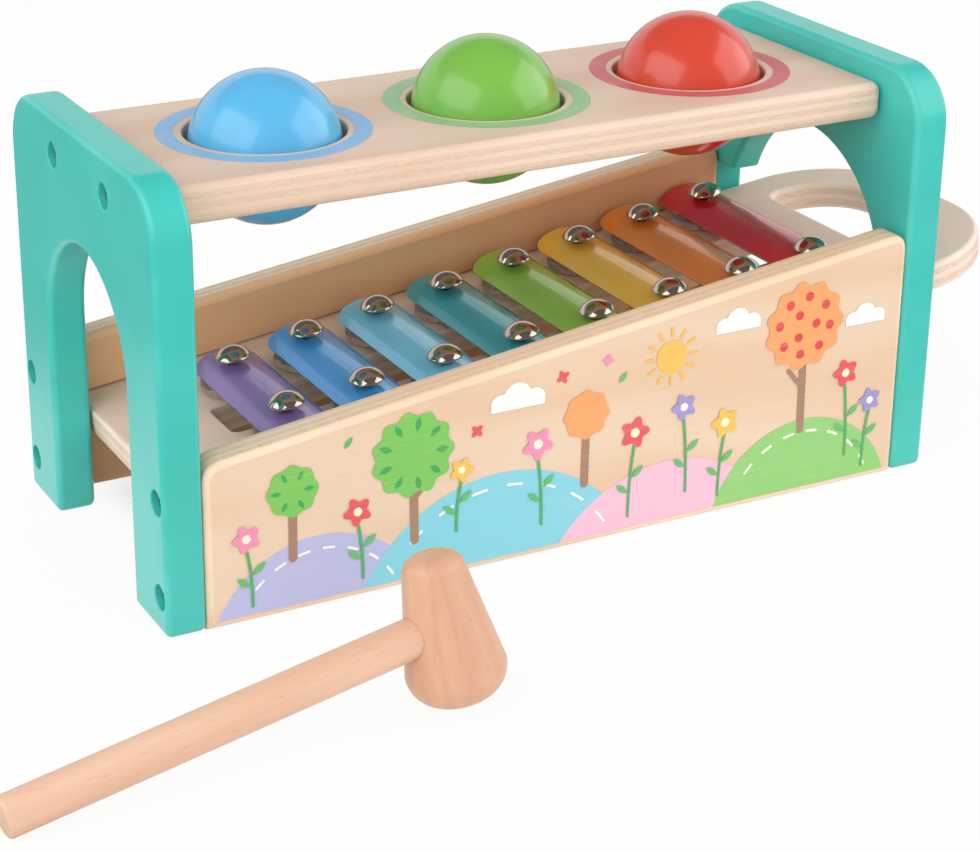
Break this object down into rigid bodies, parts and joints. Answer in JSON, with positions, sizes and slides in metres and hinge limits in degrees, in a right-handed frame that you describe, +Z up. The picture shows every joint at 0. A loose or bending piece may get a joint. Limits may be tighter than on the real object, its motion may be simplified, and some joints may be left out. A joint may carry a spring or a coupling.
{
  "type": "pounding xylophone",
  "caption": "Pounding bench: coloured balls held in a board over a sloping slide-out tray of coloured metal tone bars between teal arched end frames, with a mallet.",
  "frame": {"origin": "on the floor, under the middle of the box of the bench, its tray handle and the mallet", "axes": "+Z up, +X along the bench towards the tray's handle, -Y towards the printed front panel"},
  "size_m": [0.3712, 0.1924, 0.1425],
  "materials": {
    "teal_paint": "gloss teal paint on wood",
    "board_ply": "lacquered plywood",
    "panel_ply": "lacquered plywood with a printed picture on the front panel",
    "tray_ply": "lacquered plywood",
    "ball_blue": "gloss paint",
    "ball_green": "gloss paint",
    "ball_red": "gloss paint",
    "grip_rubber": "pale elastic rubber",
    "bar_purple": "gloss paint on steel",
    "bar_blue": "gloss paint on steel",
    "bar_light_blue": "gloss paint on steel",
    "bar_teal": "gloss paint on steel",
    "bar_green": "gloss paint on steel",
    "bar_yellow": "gloss paint on steel",
    "bar_orange": "gloss paint on steel",
    "bar_red": "gloss paint on steel",
    "chrome": "bright plated",
    "frame_screw": "zinc plated",
    "washer": "translucent white",
    "head_wood": "satin lacquer",
    "handle_wood": "satin lacquer"
  },
  "bodies": {
    "bench": {"frame_left": "teal_paint", "frame_right": "teal_paint", "frame_screw_board_front": "frame_screw", "frame_screw_board_rear": "frame_screw", "frame_screw_front_high": "frame_screw", "frame_screw_front_low": "frame_screw", "frame_screw_rear_high": "frame_screw", "frame_screw_rear_low": "frame_screw", "front_panel": "panel_ply", "grip_ring_blue": "grip_rubber", "grip_ring_green": "grip_rubber", "grip_ring_red": "grip_rubber", "rear_panel": "panel_ply", "top_board": "board_ply"},
    "tray": {"bar_blue": "bar_blue", "bar_green": "bar_green", "bar_light_blue": "bar_light_blue", "bar_orange": "bar_orange", "bar_purple": "bar_purple", "bar_red": "bar_red", "bar_screw_blue_front": "chrome", "bar_screw_blue_rear": "chrome", "bar_screw_green_front": "chrome", "bar_screw_green_rear": "chrome", "bar_screw_light_blue_front": "chrome", "bar_screw_light_blue_rear": "chrome", "bar_screw_orange_front": "chrome", "bar_screw_orange_rear": "chrome", "bar_screw_purple_front": "chrome", "bar_screw_purple_rear": "chrome", "bar_screw_red_front": "chrome", "bar_screw_red_rear": "chrome", "bar_screw_teal_front": "chrome", "bar_screw_teal_rear": "chrome", "bar_screw_yellow_front": "chrome", "bar_screw_yellow_rear": "chrome", "bar_teal": "bar_teal", "bar_yellow": "bar_yellow", "tray": "tray_ply", "washer_blue_front": "washer", "washer_blue_rear": "washer", "washer_green_front": "washer", "washer_green_rear": "washer", "washer_light_blue_front": "washer", "washer_light_blue_rear": "washer", "washer_orange_front": "washer", "washer_orange_rear": "washer", "washer_purple_front": "washer", "washer_purple_rear": "washer", "washer_red_front": "washer", "washer_red_rear": "washer", "washer_teal_front": "washer", "washer_teal_rear": "washer", "washer_yellow_front": "washer", "washer_yellow_rear": "washer"},
    "ball_blue": {"ball_blue": "ball_blue"},
    "ball_green": {"ball_green": "ball_green"},
    "ball_red": {"ball_red": "ball_red"},
    "mallet": {"mallet_head": "head_wood", "mallet_handle": "handle_wood"}
  },
  "joints": [
    {"name": "tray_slide", "type": "slide", "parent": "bench", "child": "tray", "axis": [0.9916, 0, 0.1293], "range_m": [0, 0.25]},
    {"name": "ball_blue_drop", "type": "slide", "parent": "bench", "child": "ball_blue", "axis": [0, 0, 1], "range_m": [-0.0494, 0.06]},
    {"name": "ball_green_drop", "type": "slide", "parent": "bench", "child": "ball_green", "axis": [0, 0, 1], "range_m": [-0.0418, 0.06]},
    {"name": "ball_red_drop", "type": "slide", "parent": "bench", "child": "ball_red", "axis": [0, 0, 1], "range_m": [-0.0314, 0.06]},
    {"name": "mallet_lift", "type": "slide", "parent": "bench", "child": "mallet", "axis": [0, 0, 1], "range_m": [0, 0.2]}
  ]
}
